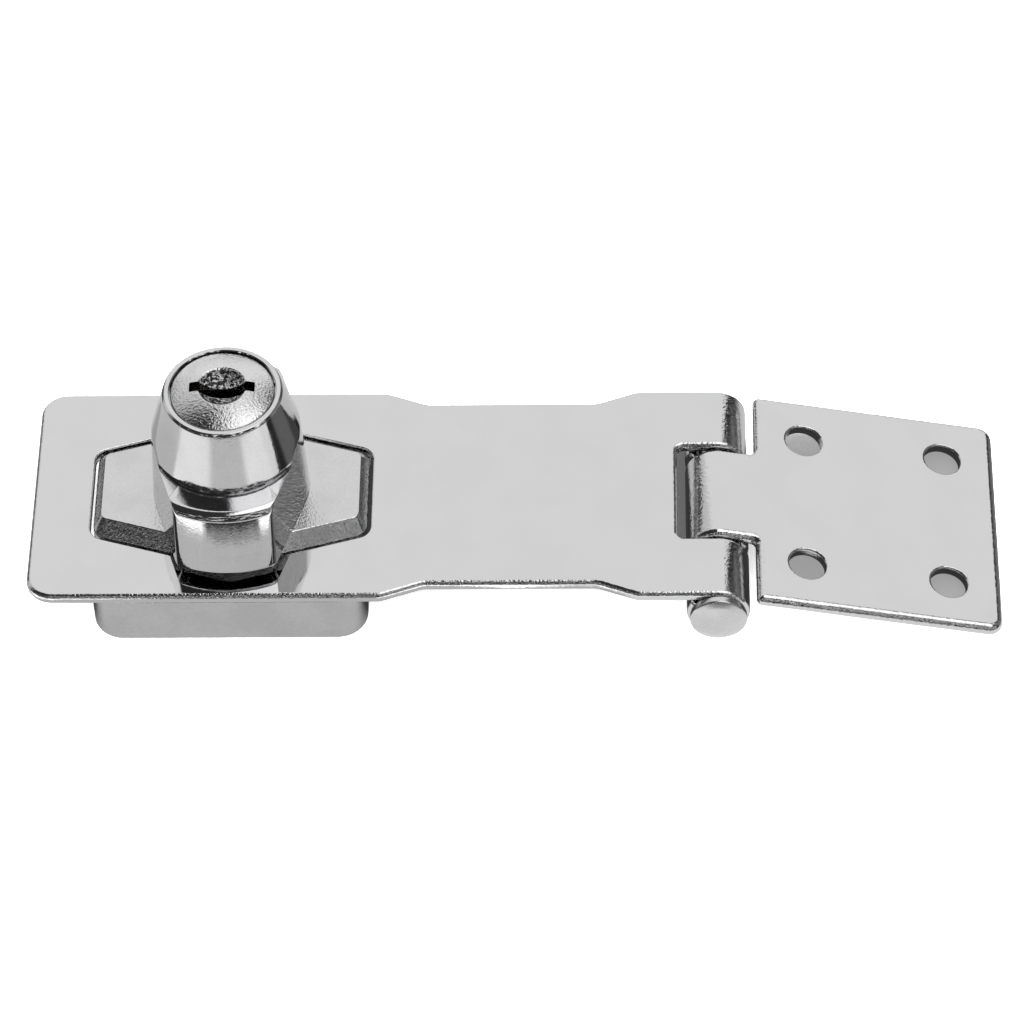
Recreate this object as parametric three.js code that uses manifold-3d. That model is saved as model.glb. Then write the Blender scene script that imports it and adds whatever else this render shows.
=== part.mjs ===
// A locking hasp for a cupboard, gate or shed door: a long slotted leaf on a hinge closes over a
// square lock base, and a quarter-turn knob with a key lock in its head traps it there.
//
// Frame: millimetres. The origin is on the knob's axis in the plane of the door. +X runs along the
// leaf to the hinge, +Z points away from the door. The knob stands crosswise (locked), the bolt is
// drawn in, and the hinge's fixed leaf lies opened out with its end on the door's plane.
import * as THREE from 'three';
import { mergeVertices } from 'three/addons/utils/BufferGeometryUtils.js';
import Module from 'manifold-3d';

const wasm = await Module();
wasm.setup();

// ---------------------------------------------------------------- driving dimensions
const SHEET = 1.5; // steel of both hinge leaves
const LEAF_WIDTH = 35;
const LEAF_LEFT = -26.1; // the long leaf's free end
const LEAF_UNDER = 7.73; // its underside, just above the base
const LEAF_TOP = LEAF_UNDER + SHEET;
const LEAF_CORNER = 3.5;
const WAIST_HALF = 15.5; // the leaf is a little narrower in its middle
const WAIST = [19.9, 25.3, 47.8, 53];

const HINGE_X = 63.5;
const BARREL_R = 4.08;
const KNUCKLE_R = BARREL_R - SHEET; // inside of the rolled knuckles
const HINGE_Z = LEAF_TOP - BARREL_R;
const TONGUE_HALF = 7.4; // the fixed leaf's middle knuckle
const NOTCH_HALF = 7.85; // the gap for it in the long leaf
const NOTCH_X = 58.3;
const PIN_R = 2.5;
const PIN_HEAD_R = 3.7;
const PIN_TAIL_R = 2.9;

const FIXED_TILT = THREE.MathUtils.degToRad(11.94); // its end then touches the door's plane
const FIXED_END = 37.1; // from the hinge axis
const FIXED_SHOULDER = 4.4;
const FIXED_CORNER = 2;
const SCREW_HOLE_R = 2.45;
const SCREW_S = [11.1, 30]; // rows of screw holes, from the hinge axis
const SCREW_Y = 10.55;

const BASE_HALF_X = 17.9;
const BASE_HALF_Y = 17.1;
const BASE_TOP = 7.7;
const BASE_CORNER = 4;
const BOSS_TOP = 10.8;
const WINDOW_END = 18.3; // hexagonal window: half length, half width at its ends and in the middle
const WINDOW_END_HALF = 7.2;
const WINDOW_MID_HALF = 12.7;
const WINDOW_PLAY = 0.4;
const BOSS_CHAMFER = 1.75;
const BOSS_END_CHAMFER = 1.1; // the boss's short ends are steeper
const BASE_SCREW = [12.9, 12.6]; // hidden under the closed leaf
const BASE_SCREW_R = 2.1;
const BASE_SINK_R = 3.9;
const BASE_RECESS = 5.2; // height of the hollow under the base
const HUB_R = 11.5; // round chamber for the stem's washers

const KNOB_UNDER = 10.9;
const KNOB_TOP = 29.5;
const LIP_Z = 21.2;
const LIP_R = 9.95; // widest circle of the conical head
const RIM_R = 7.8;
const WALL_R = 9.6; // neck below the lip
const WING_PROFILE = [[15.28, 10.9], [14.75, 14], [14.3, 17], [13.95, 19.4], [13.7, 20.1], [13.1, 20.6]];
const WING_CORNER = 1.3; // rounding of the wings' upright corners
const FLANK_ANGLE = 17.9; // degrees; the four flat flanks close in towards the wings' ends
const FLANK_R = [10.28, 9.76]; // circle that the flanks touch, at the wings' underside and ledge
const STEM_R = 6.5;
const STEM_END = 1;
const STEM_PLAY = 0.05;

const PLUG_HEAD_R = 6.7;
const PLUG_HEAD_Z = 27.3;
const PLUG_BODY_R = 5.5;
const PLUG_BODY_Z = 13.4;
const PLUG_TAIL_R = 4;
const PLUG_TAIL_Z = 9.3;
const PLUG_PLAY = 0.07;
const DOME_R = 16.5; // crowned face of the plug
const DISH_R = 3.2;
const DISH_DEPTH = 1.6;
const KEYWAY = [8.45, 1.6];
const STUD_R = 0.9; // eccentric stud that drives the bolt
const STUD_OFFSET = 2;
const STUD_END = 6.5;

const BOLT = { back: -4.4, nose: 5.4, half: 3.4, low: 6.3, high: 8.9 };
const BOLT_PLAY = 0.1;
const BOLT_STROKE = STUD_OFFSET * Math.SQRT2;

const WAFER_COUNT = 5;
const WAFER_Z = 15.6;
const WAFER_PITCH = 2.25;
const WAFER = { halfX: 5.4, halfY: 3, thick: 0.8, ear: 4.05, earBack: 0.2, earFront: 1.2 };
const WAFER_TRAVEL = 0.7;
const GROOVE_R = 6.3;
const SPRING_R = 0.42;
const SPRING_WIRE = 0.1;

const CLIP_Z = [2.05, 3.05];
const CLIP_GROOVE_R = 5.85;
const STOP_Z = [3.2, 4.15];
const STOP_SPAN = 70; // degrees that each stop lug covers
const STEM_FLAT = 5.6;
const PLUG_SNAP_Z = [13.75, 14.35];
const SNAP_GROOVE_R = 4.9;

const ROUND = 48; // facets of a large circle
const SMALL_ROUND = 20;

// ---------------------------------------------------------------- solids
const rad = THREE.MathUtils.degToRad;

function toSolid(geometry) {
  const bare = geometry.index ? geometry.toNonIndexed() : geometry.clone();
  bare.deleteAttribute('normal');
  bare.deleteAttribute('uv');
  const merged = mergeVertices(bare, 1e-5);
  return new wasm.Manifold(new wasm.Mesh({
    numProp: 3,
    vertProperties: new Float32Array(merged.attributes.position.array),
    triVerts: new Uint32Array(merged.index.array),
  }));
}

function toGeometry(solid) {
  const mesh = solid.getMesh();
  const geometry = new THREE.BufferGeometry();
  geometry.setAttribute('position', new THREE.BufferAttribute(mesh.vertProperties, 3));
  geometry.setIndex(new THREE.BufferAttribute(mesh.triVerts, 1));
  return geometry;
}

const union = (...solids) => solids.reduce((a, b) => a.add(b));
const cut = (solid, ...tools) => tools.reduce((a, b) => a.subtract(b), solid);

function box(x, y, z) {
  const geometry = new THREE.BoxGeometry(x[1] - x[0], y[1] - y[0], z[1] - z[0]);
  geometry.translate((x[0] + x[1]) / 2, (y[0] + y[1]) / 2, (z[0] + z[1]) / 2);
  return toSolid(geometry);
}

function prism(shape, z0, z1) {
  const geometry = new THREE.ExtrudeGeometry(shape, {
    depth: z1 - z0, bevelEnabled: false, curveSegments: 10,
  });
  geometry.translate(0, 0, z0);
  return toSolid(geometry);
}

// Solid of revolution about +Z from [radius, height] points.
function turned(profile, segments = ROUND) {
  const points = profile.map(([r, z]) => new THREE.Vector2(r, z));
  const geometry = new THREE.LatheGeometry(points, segments);
  geometry.rotateX(Math.PI / 2);
  return toSolid(geometry);
}

function cylinder(r, z0, z1, x = 0, y = 0, segments = ROUND) {
  const geometry = new THREE.CylinderGeometry(r, r, z1 - z0, segments);
  geometry.rotateX(Math.PI / 2);
  geometry.translate(x, y, (z0 + z1) / 2);
  return toSolid(geometry);
}

// Round bar along Y, centred on the given x and z.
function bar(r, y0, y1, x, z, segments = ROUND) {
  const geometry = new THREE.CylinderGeometry(r, r, y1 - y0, segments);
  geometry.translate(x, (y0 + y1) / 2, z);
  return toSolid(geometry);
}

// Closed skin over rings of equal point counts, each listed upwards and anticlockwise from above.
function loft(rings) {
  const points = rings.flat();
  const count = rings[0].length;
  const index = [];
  for (let k = 0; k + 1 < rings.length; k++) {
    for (let i = 0; i < count; i++) {
      const a = k * count + i;
      const b = k * count + (i + 1) % count;
      index.push(a, b, b + count, a, b + count, a + count);
    }
  }
  const last = (rings.length - 1) * count;
  for (let i = 1; i + 1 < count; i++) {
    index.push(0, i + 1, i);
    index.push(last, last + i, last + i + 1);
  }
  const geometry = new THREE.BufferGeometry();
  geometry.setAttribute('position', new THREE.Float32BufferAttribute(points.flat(), 3));
  geometry.setIndex(index);
  return toSolid(geometry);
}

// Polygon outline with its corners rounded to the radius that each corner names.
function roundedShape(corners, steps = 4) {
  const shape = new THREE.Shape();
  corners.forEach(([x, y, r = 0], i) => {
    const before = corners[(i + corners.length - 1) % corners.length];
    const after = corners[(i + 1) % corners.length];
    const here = new THREE.Vector2(x, y);
    const inward = new THREE.Vector2(before[0] - x, before[1] - y).normalize();
    const outward = new THREE.Vector2(after[0] - x, after[1] - y).normalize();
    if (r === 0) {
      if (i === 0) shape.moveTo(x, y);
      else shape.lineTo(x, y);
      return;
    }
    const half = Math.acos(THREE.MathUtils.clamp(inward.dot(outward), -1, 1)) / 2;
    const reach = r / Math.tan(half);
    const start = here.clone().addScaledVector(inward, reach);
    const end = here.clone().addScaledVector(outward, reach);
    const centre = here.clone().add(
      inward.clone().add(outward).normalize().multiplyScalar(r / Math.sin(half)));
    const a0 = Math.atan2(start.y - centre.y, start.x - centre.x);
    let sweep = Math.atan2(end.y - centre.y, end.x - centre.x) - a0;
    if (sweep > Math.PI) sweep -= 2 * Math.PI;
    if (sweep < -Math.PI) sweep += 2 * Math.PI;
    for (let k = 0; k <= steps; k++) {
      const a = a0 + sweep * k / steps;
      const px = centre.x + r * Math.cos(a);
      const py = centre.y + r * Math.sin(a);
      if (i === 0 && k === 0) shape.moveTo(px, py);
      else shape.lineTo(px, py);
    }
  });
  return shape;
}

const rectangle = (hx, hy, r) => [[-hx, -hy, r], [hx, -hy, r], [hx, hy, r], [-hx, hy, r]];

// The long hexagon shared by the leaf's window and the boss that fills it, moved in from its long
// sides by an inset and from its short ends by another.
function hexagon(inset, r, endInset = inset) {
  const end = WINDOW_END - endInset;
  const slope = (WINDOW_MID_HALF - WINDOW_END_HALF) / WINDOW_END;
  const mid = WINDOW_MID_HALF - inset * Math.hypot(1, slope);
  const side = mid - slope * end;
  return [[-end, -side, r], [0, -mid, 3], [end, -side, r], [end, side, r], [0, mid, 3], [-end, side, r]];
}

function ringAt(shape, z) {
  return shape.getPoints(1).slice(0, -1).map((p) => [p.x, p.y, z]);
}

// ---------------------------------------------------------------- lock base
function lockBase() {
  const block = prism(roundedShape(rectangle(BASE_HALF_X, BASE_HALF_Y, BASE_CORNER)), 0, BASE_TOP);
  const foot = roundedShape(hexagon(WINDOW_PLAY, 2));
  const crown = roundedShape(hexagon(WINDOW_PLAY + BOSS_CHAMFER, 1, WINDOW_PLAY + BOSS_END_CHAMFER));
  const boss = loft([
    ringAt(foot, BASE_RECESS + 1), ringAt(foot, BOSS_TOP - BOSS_CHAMFER), ringAt(crown, BOSS_TOP),
  ]);
  const wall = 2.3;
  const screws = [[1, 1], [1, -1], [-1, 1], [-1, -1]].map(([i, j]) => [i * BASE_SCREW[0], j * BASE_SCREW[1]]);
  const inside = rectangle(BASE_HALF_X - wall, BASE_HALF_Y - wall, BASE_CORNER - wall);
  const hollow = cut(
    prism(roundedShape(inside), -1, BASE_RECESS),
    cylinder(HUB_R + 1.5, -2, BASE_RECESS + 1),
    ...screws.map(([x, y]) => cylinder(BASE_SINK_R + 0.9, -2, BASE_RECESS + 1, x, y, SMALL_ROUND)),
  );
  const chamber = cylinder(HUB_R, -1, BASE_RECESS);
  // Two lugs stay on the chamber's wall and stop the knob's washer at each end of its quarter turn.
  const stops = [-STOP_SPAN + 36, 144].map(
    (from) => sector(HUB_R - 2, HUB_R + 1, from, from + STOP_SPAN, 0.6, BASE_RECESS + 1));
  const bore = cylinder(STEM_R + STEM_PLAY, BASE_RECESS - 1, BOSS_TOP + 1);
  const pocketEnd = BOLT.nose + BOLT_STROKE + 0.4;
  const pocketHalf = BOLT.half + 0.2;
  const pocketTop = BOLT.high + 0.15;
  const pockets = [
    box([0, pocketEnd], [-pocketHalf, pocketHalf], [BASE_RECESS - 1, pocketTop]),
    box([-pocketHalf, pocketHalf], [0, pocketEnd], [BASE_RECESS - 1, pocketTop]),
  ];
  const screwHoles = screws.map(([x, y]) => turned([
    [0, -1], [BASE_SCREW_R, -1], [BASE_SCREW_R, BASE_TOP - 2], [BASE_SINK_R, BASE_TOP - 0.2],
    [BASE_SINK_R, BASE_TOP + 1], [0, BASE_TOP + 1],
  ], SMALL_ROUND).translate([x, y, 0]));
  return cut(union(block, boss), hollow, cut(chamber, ...stops), bore, ...pockets, ...screwHoles);
}

// Part of a round plate between two radii and two angles in degrees.
function sector(r0, r1, from, to, z0, z1, steps = 14) {
  const shape = new THREE.Shape();
  const at = (r, degrees) => [r * Math.cos(rad(degrees)), r * Math.sin(rad(degrees))];
  for (let i = 0; i <= steps; i++) {
    const p = at(r1, from + (to - from) * i / steps);
    if (i === 0) shape.moveTo(...p);
    else shape.lineTo(...p);
  }
  for (let i = steps; i >= 0; i--) shape.lineTo(...at(r0, from + (to - from) * i / steps));
  return prism(shape, z0, z1);
}

// ---------------------------------------------------------------- turn knob
// Radius of the circle that the knob's flanks touch, which shrinks with height.
const flankRadius = (z) => FLANK_R[0]
  + (FLANK_R[1] - FLANK_R[0]) * (z - KNOB_UNDER) / (WING_PROFILE.at(-1)[1] - KNOB_UNDER);

// One level of the knob's plan: round sides, four flat flanks and two round ends with eased corners.
function knobRing(endRadius, z) {
  const side = flankRadius(z);
  const tilt = rad(FLANK_ANGLE);
  const along = Math.sqrt((endRadius - WING_CORNER) ** 2 - (side - WING_CORNER) ** 2);
  const corner = [
    (side - WING_CORNER) * Math.cos(tilt) - along * Math.sin(tilt),
    (side - WING_CORNER) * Math.sin(tilt) + along * Math.cos(tilt),
  ];
  const endAngle = Math.atan2(corner[1], corner[0]);
  const quarter = [];
  for (let k = 0; k <= 4; k++) {
    quarter.push([side * Math.cos(tilt * k / 4), side * Math.sin(tilt * k / 4)]);
  }
  for (let k = 0; k <= 4; k++) {
    const a = tilt + (endAngle - tilt) * k / 4;
    quarter.push([corner[0] + WING_CORNER * Math.cos(a), corner[1] + WING_CORNER * Math.sin(a)]);
  }
  for (let k = 1; k <= 5; k++) {
    const a = endAngle + (Math.PI / 2 - endAngle) * k / 5;
    quarter.push([endRadius * Math.cos(a), endRadius * Math.sin(a)]);
  }
  const half = [...quarter, ...quarter.slice(0, -1).reverse().map(([x, y]) => [-x, y])];
  return [...half, ...half.slice(1, -1).reverse().map(([x, y]) => [x, -y])].map(([x, y]) => [x, y, z]);
}

function turnKnob() {
  const wings = loft(WING_PROFILE.map(([r, z]) => knobRing(r, z)));
  // The same flanks run on up to the cone and shave the sides of the lip.
  const flanks = loft([knobRing(16, KNOB_UNDER + 1), knobRing(16, KNOB_TOP + 1)]);
  const cheekReach = 5.2;
  const cheeks = cylinder(LIP_R, LIP_Z - 3, LIP_Z)
    .intersect(box([-LIP_R, LIP_R], [-cheekReach, cheekReach], [LIP_Z - 4, LIP_Z + 1]));
  const lipped = turned([
    [0, KNOB_UNDER + 3], [WALL_R, KNOB_UNDER + 3], [WALL_R, LIP_Z - 0.5], [LIP_R - 0.1, LIP_Z - 0.2],
    [LIP_R, LIP_Z], [RIM_R, KNOB_TOP - 0.4], [RIM_R - 0.2, KNOB_TOP - 0.1], [RIM_R - 0.45, KNOB_TOP],
    [0, KNOB_TOP],
  ]);
  const head = union(lipped, cheeks).intersect(flanks);
  const stem = cylinder(STEM_R, STEM_END, KNOB_UNDER + 1);
  const bore = turned([
    [0, BOLT.high - 1], [PLUG_TAIL_R + PLUG_PLAY, BOLT.high - 1],
    [PLUG_TAIL_R + PLUG_PLAY, PLUG_BODY_Z - 0.1], [PLUG_BODY_R + PLUG_PLAY, PLUG_BODY_Z - 0.1],
    [PLUG_BODY_R + PLUG_PLAY, PLUG_HEAD_Z - 0.1], [PLUG_HEAD_R + 0.15, PLUG_HEAD_Z - 0.1],
    [PLUG_HEAD_R + 0.15, KNOB_TOP + 1], [0, KNOB_TOP + 1],
  ]);
  // Grooves that the sprung wafers drop into when the key is out, for both ends of the plug's turn.
  const grooveHalf = WAFER.halfY + 0.15;
  const grooveZ = [WAFER_Z - 1, PLUG_HEAD_Z];
  const grooveReach = [-GROOVE_R, GROOVE_R];
  const across = [-grooveHalf, grooveHalf];
  const boltRoom = box(
    [BOLT.back - 0.2, STEM_R + 1], [-BOLT.half - BOLT_PLAY, BOLT.half + BOLT_PLAY],
    [BOLT.low - BOLT_PLAY, BOLT.high + BOLT_PLAY]);
  const clipGroove = cut(
    cylinder(STEM_R + 1, CLIP_Z[0] - 0.05, CLIP_Z[1] + 0.05),
    cylinder(CLIP_GROOVE_R, CLIP_Z[0] - 1, CLIP_Z[1] + 1));
  const snapGroove = cylinder(PLUG_BODY_R + 0.75, PLUG_SNAP_Z[0] - 0.1, PLUG_SNAP_Z[1] + 0.1);
  // Flats across the lower stem carry the stop washer round with the knob.
  const flats = [-1, 1].map((side) => box(
    [-STEM_R - 1, STEM_R + 1], side < 0 ? [-STEM_R - 1, -STEM_FLAT] : [STEM_FLAT, STEM_R + 1],
    [STEM_END - 1, STOP_Z[1] + 0.1]));
  return cut(
    union(wings, head, stem), bore, box(grooveReach, across, grooveZ),
    box(across, grooveReach, grooveZ), boltRoom, clipGroove, snapGroove, ...flats);
}

// ---------------------------------------------------------------- lock plug and what it carries
const waferLevel = (i) => WAFER_Z + i * WAFER_PITCH;

function lockPlug() {
  const rimZ = KNOB_TOP - 0.25;
  const dome = (r) => rimZ + Math.sqrt(DOME_R ** 2 - r ** 2) - Math.sqrt(DOME_R ** 2 - PLUG_HEAD_R ** 2);
  const face = [0.97, 0.85, 0.7, 0.52, 0.25].map((k) => [PLUG_HEAD_R * k, dome(PLUG_HEAD_R * k)]);
  const core = turned([
    [0, PLUG_TAIL_Z], [PLUG_TAIL_R, PLUG_TAIL_Z], [PLUG_TAIL_R, PLUG_BODY_Z],
    [PLUG_BODY_R, PLUG_BODY_Z], [PLUG_BODY_R, PLUG_SNAP_Z[0] - 0.03], [SNAP_GROOVE_R, PLUG_SNAP_Z[0] - 0.03],
    [SNAP_GROOVE_R, PLUG_SNAP_Z[1] + 0.03], [PLUG_BODY_R, PLUG_SNAP_Z[1] + 0.03],
    [PLUG_BODY_R, PLUG_HEAD_Z], [PLUG_HEAD_R, PLUG_HEAD_Z], [PLUG_HEAD_R, rimZ - 0.2], ...face,
    [0, dome(0)],
  ]);
  const dishRadius = (DISH_R ** 2 + DISH_DEPTH ** 2) / (2 * DISH_DEPTH);
  const dishFloor = dome(DISH_R) - DISH_DEPTH;
  const dish = turned([
    [0, dishFloor],
    ...[0.35, 0.65, 0.85, 1].map((k) => {
      const r = DISH_R * k;
      return [r, dishFloor + dishRadius - Math.sqrt(dishRadius ** 2 - r ** 2)];
    }),
    [DISH_R, KNOB_TOP + 3], [0, KNOB_TOP + 3],
  ], 32);
  const keyway = box(
    [-KEYWAY[0] / 2, KEYWAY[0] / 2], [-KEYWAY[1] / 2, KEYWAY[1] / 2], [PLUG_BODY_Z + 1.2, KNOB_TOP + 3]);
  const studAngle = rad(-135);
  const stud = cylinder(
    STUD_R, STUD_END, PLUG_TAIL_Z + 0.5, STUD_OFFSET * Math.cos(studAngle),
    STUD_OFFSET * Math.sin(studAngle), SMALL_ROUND);
  const slots = [];
  for (let i = 0; i < WAFER_COUNT; i++) {
    const z = waferLevel(i);
    const level = [z - WAFER.thick / 2 - 0.06, z + WAFER.thick / 2 + 0.06];
    const springLevel = [z - SPRING_R - 0.12, z + SPRING_R + 0.12];
    slots.push(box([-PLUG_BODY_R - 1, PLUG_BODY_R + 1], [-WAFER.halfY - 0.06, WAFER.halfY + 0.06], level));
    slots.push(box([-2.9, WAFER.earFront + WAFER_TRAVEL + 0.3], [0, WAFER.ear + 0.1], springLevel));
  }
  return cut(union(core, stud), dish, keyway, ...slots);
}

// A wafer: a flat brass plate with a window for the key and an ear for its spring.
function wafer(i) {
  const z = waferLevel(i);
  const level = [z - WAFER.thick / 2, z + WAFER.thick / 2];
  const plate = box([-WAFER.halfX, WAFER.halfX], [-WAFER.halfY, WAFER.halfY], level);
  const rounded = cylinder(PLUG_BODY_R - 0.05, level[0] - 1, level[1] + 1);
  const ear = box([WAFER.earBack, WAFER.earFront], [WAFER.halfY - 0.5, WAFER.ear], level);
  // Each key cut has its own depth, so the window sits a little further along from wafer to wafer.
  const shift = 0.15 * ((i * 2) % 5) - 0.3;
  const window = box([-3.5 + shift, 3.5 + shift], [-1.3, 1.3], [level[0] - 1, level[1] + 1]);
  return cut(plate.intersect(rounded).add(ear), window);
}

// The spring that pushes a wafer out by its ear: a coil along X in the plug's side pocket.
function waferSpring(i) {
  const from = -2.75;
  const to = WAFER.earBack - 0.08;
  const start = new THREE.Vector3(from, WAFER.halfY + 0.58, waferLevel(i));
  return coil(start, to - from, SPRING_R, SPRING_WIRE, 4);
}

function coil(start, length, radius, wire, turns) {
  class Helix extends THREE.Curve {
    getPoint(t, target = new THREE.Vector3()) {
      const a = 2 * Math.PI * turns * t;
      const along = wire + (length - 2 * wire) * t;
      const reach = radius - wire;
      return target.set(start.x + along, start.y + reach * Math.cos(a), start.z + reach * Math.sin(a));
    }
  }
  const section = new THREE.Shape();
  for (let k = 0; k < 6; k++) {
    const a = k * Math.PI / 3;
    if (k === 0) section.moveTo(wire * Math.cos(a), wire * Math.sin(a));
    else section.lineTo(wire * Math.cos(a), wire * Math.sin(a));
  }
  return toSolid(new THREE.ExtrudeGeometry(section, {
    steps: turns * 10, bevelEnabled: false, extrudePath: new Helix(),
  }));
}

// Split ring in the plug's last groove; it springs into the knob and holds the plug in.
const plugClip = () => sector(SNAP_GROOVE_R + 0.05, PLUG_BODY_R + 0.6, -60, 240, ...PLUG_SNAP_Z, 30);

function lockingBolt() {
  const studX = -STUD_OFFSET * Math.SQRT1_2;
  const slotHalf = STUD_R + 0.1;
  return cut(
    box([BOLT.back, BOLT.nose], [-BOLT.half, BOLT.half], [BOLT.low, BOLT.high]),
    box([studX - slotHalf, studX + slotHalf], [-BOLT.half - 1, -0.3], [BOLT.low - 1, BOLT.high + 1]));
}

// ---------------------------------------------------------------- under the base
// Wavy spring washer: its crests press on the base and its troughs on the stop washer.
function springWasher() {
  const inner = STEM_R + 0.25;
  const outer = 9;
  const thick = 0.35;
  const middle = (STOP_Z[1] + BASE_RECESS) / 2;
  const swing = (BASE_RECESS - STOP_Z[1] - thick) / 2 - 0.04;
  const rings = 48;
  const points = [];
  const index = [];
  for (let i = 0; i < rings; i++) {
    const a = 2 * Math.PI * i / rings;
    const z = middle + swing * Math.cos(3 * a);
    for (const [r, dz] of [[inner, -1], [outer, -1], [outer, 1], [inner, 1]]) {
      points.push(r * Math.cos(a), r * Math.sin(a), z + dz * thick / 2);
    }
    const next = (i + 1) % rings;
    for (let k = 0; k < 4; k++) {
      const a0 = i * 4 + k;
      const b0 = i * 4 + (k + 1) % 4;
      const a1 = next * 4 + k;
      const b1 = next * 4 + (k + 1) % 4;
      index.push(a0, b1, b0, a0, a1, b1);
    }
  }
  const geometry = new THREE.BufferGeometry();
  geometry.setAttribute('position', new THREE.Float32BufferAttribute(points, 3));
  geometry.setIndex(index);
  return toSolid(geometry);
}

// Stop washer: its flats turn with the stem and its tab runs between the base's two lugs.
function stopWasher() {
  const hole = cylinder(STEM_R + 0.08, STOP_Z[0] - 1, STOP_Z[1] + 1)
    .intersect(box([-9, 9], [-STEM_FLAT - 0.08, STEM_FLAT + 0.08], [STOP_Z[0] - 1, STOP_Z[1] + 1]));
  return cut(
    union(cylinder(9.1, ...STOP_Z), sector(8, HUB_R - 0.3, 38, 52, ...STOP_Z, 4)), hole);
}

// Retaining ring snapped into the groove at the stem's end.
const stemClip = () => sector(CLIP_GROOVE_R + 0.05, 8.3, -55, 235, ...CLIP_Z, 30);

// ---------------------------------------------------------------- hinge
// Half-open slit where the end of a rolled knuckle meets the sheet it was rolled from.
function rollSlit(y0, y1, side) {
  const x = side < 0 ? [-BARREL_R - 0.3, -0.9] : [0.9, BARREL_R + 0.3];
  return box(x, [y0, y1], [KNUCKLE_R - 0.3, KNUCKLE_R]);
}

function knuckle(y0, y1) {
  return cut(bar(BARREL_R, y0, y1, 0, 0), bar(KNUCKLE_R, y0 - 1, y1 + 1, 0, 0));
}

function haspLeaf() {
  const half = LEAF_WIDTH / 2;
  const [w0, w1, w2, w3] = WAIST;
  const lower = [
    [LEAF_LEFT, -half, LEAF_CORNER], [w0, -half, 3], [w1, -WAIST_HALF, 3], [w2, -WAIST_HALF, 3],
    [w3, -half, 3], [HINGE_X, -half],
  ];
  const notch = [
    [HINGE_X, -NOTCH_HALF], [NOTCH_X, -NOTCH_HALF, 0.9], [NOTCH_X, NOTCH_HALF, 0.9], [HINGE_X, NOTCH_HALF],
  ];
  const upper = lower.map(([x, y, r]) => [x, -y, r]).reverse();
  const plate = prism(roundedShape([...lower, ...notch, ...upper]), LEAF_UNDER, LEAF_TOP);
  const window = prism(roundedShape(hexagon(0, 2)), LEAF_UNDER - 1, LEAF_TOP + 1);
  const knuckles = [[-half, -NOTCH_HALF], [NOTCH_HALF, half]].map(([y0, y1]) => {
    const place = [HINGE_X, 0, HINGE_Z];
    return { ring: knuckle(y0, y1).translate(place), slit: rollSlit(y0 - 1, y1 + 1, -1).translate(place) };
  });
  const clearBore = bar(KNUCKLE_R, -half - 1, half + 1, HINGE_X, HINGE_Z);
  return cut(
    union(plate, ...knuckles.map((k) => k.ring)), window, clearBore,
    ...knuckles.map((k) => cut(k.slit, box([HINGE_X - 9, HINGE_X + 9], [-NOTCH_HALF, NOTCH_HALF], [0, 12]))));
}

// Modelled about the hinge axis with the leaf level; the mesh is then tilted into place.
function fixedLeaf() {
  const half = LEAF_WIDTH / 2;
  const outline = roundedShape([
    [0, -TONGUE_HALF], [FIXED_SHOULDER, -TONGUE_HALF, 0.8], [FIXED_SHOULDER, -half, 0.8],
    [FIXED_END, -half, FIXED_CORNER], [FIXED_END, half, FIXED_CORNER],
    [FIXED_SHOULDER, half, 0.8], [FIXED_SHOULDER, TONGUE_HALF, 0.8], [0, TONGUE_HALF],
  ]);
  const plate = prism(outline, KNUCKLE_R, BARREL_R);
  const holes = SCREW_S.flatMap((s) => [-SCREW_Y, SCREW_Y].map(
    (y) => cylinder(SCREW_HOLE_R, 0, 6, s, y, SMALL_ROUND)));
  const bore = bar(KNUCKLE_R, -TONGUE_HALF - 1, TONGUE_HALF + 1, 0, 0);
  return cut(
    union(plate, knuckle(-TONGUE_HALF, TONGUE_HALF)), ...holes, bore,
    rollSlit(-TONGUE_HALF - 1, TONGUE_HALF + 1, 1));
}

// Hinge pin: a domed head at the near end, the far end peened over the last knuckle.
function hingePin() {
  const half = LEAF_WIDTH / 2;
  const gap = 0.05;
  const profile = [
    [0, -half - gap - 1.8], [1.5, -half - gap - 1.68], [2.7, -half - gap - 1.36],
    [PIN_HEAD_R - 0.15, -half - gap - 1.02], [PIN_HEAD_R, -half - gap - 0.8], [PIN_HEAD_R, -half - gap],
    [PIN_R, -half - gap], [PIN_R, half + gap], [PIN_TAIL_R, half + gap], [PIN_TAIL_R, half + gap + 0.3],
    [PIN_TAIL_R - 0.4, half + gap + 0.55], [0, half + gap + 0.6],
  ];
  return turned(profile).rotate([-90, 0, 0]);
}

// ---------------------------------------------------------------- materials and scene graph
const material = (color, roughness, metalness) => (
  new THREE.MeshStandardMaterial({ color, roughness, metalness }));
const FINISH = {
  chrome: () => material(0xd2d3d5, 0.12, 1),
  brass: () => material(0xc9a24d, 0.35, 1),
  springSteel: () => material(0x8f9296, 0.3, 1),
  zinc: () => material(0xb6b8ba, 0.4, 1),
};

function part(name, solid, finish) {
  const mesh = new THREE.Mesh(toGeometry(solid), FINISH[finish]());
  mesh.name = name;
  return mesh;
}

const hasp = new THREE.Group();
hasp.add(part('lock_base', lockBase(), 'chrome'));

const knobGroup = new THREE.Group();
knobGroup.add(
  part('turn_knob', turnKnob(), 'chrome'),
  part('spring_washer', springWasher(), 'springSteel'),
  part('stop_washer', stopWasher(), 'zinc'),
  part('stem_clip', stemClip(), 'springSteel'),
  part('locking_bolt', lockingBolt(), 'zinc'),
);

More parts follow.
